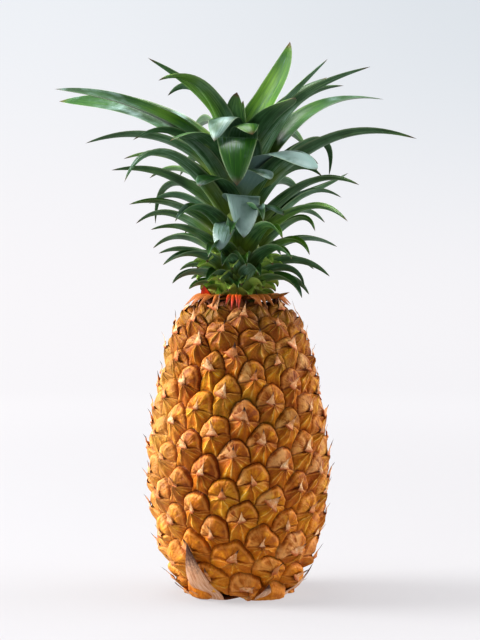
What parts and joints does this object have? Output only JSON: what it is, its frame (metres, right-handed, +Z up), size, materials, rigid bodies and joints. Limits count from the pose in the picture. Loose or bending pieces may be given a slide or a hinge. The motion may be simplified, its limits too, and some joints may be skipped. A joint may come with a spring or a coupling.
{
  "type": "pineapple",
  "caption": "Whole ripe pineapple standing on its cut stalk: spiralling scale-like eyes, a red bract collar and a tall leafy crown.",
  "frame": {"origin": "centre of the cut stalk's face under the fruit, on the surface it stands on", "axes": "+Z up along the fruit's axis from the cut stalk to the crown, -Y towards the picture's viewer, +X to the viewer's right"},
  "size_m": [0.231, 0.1532, 0.359],
  "materials": {
    "eye_skin": "hard waxy golden-orange rind, each eye with a brown disc and a pale papery bract tip",
    "leaf_green": "stiff dark green leaves with a pale grey waxy bloom, yellow-green at their roots",
    "collar_red": "fresh orange-red bracts drying to brown at their tips",
    "dry_bract": "dry papery beige-brown bracts on a pale fibrous cut stalk"
  },
  "bodies": {
    "root": {"fruit": "eye_skin", "crown": "leaf_green", "collar_bracts": "collar_red", "stalk": "dry_bract"}
  },
  "joints": []
}
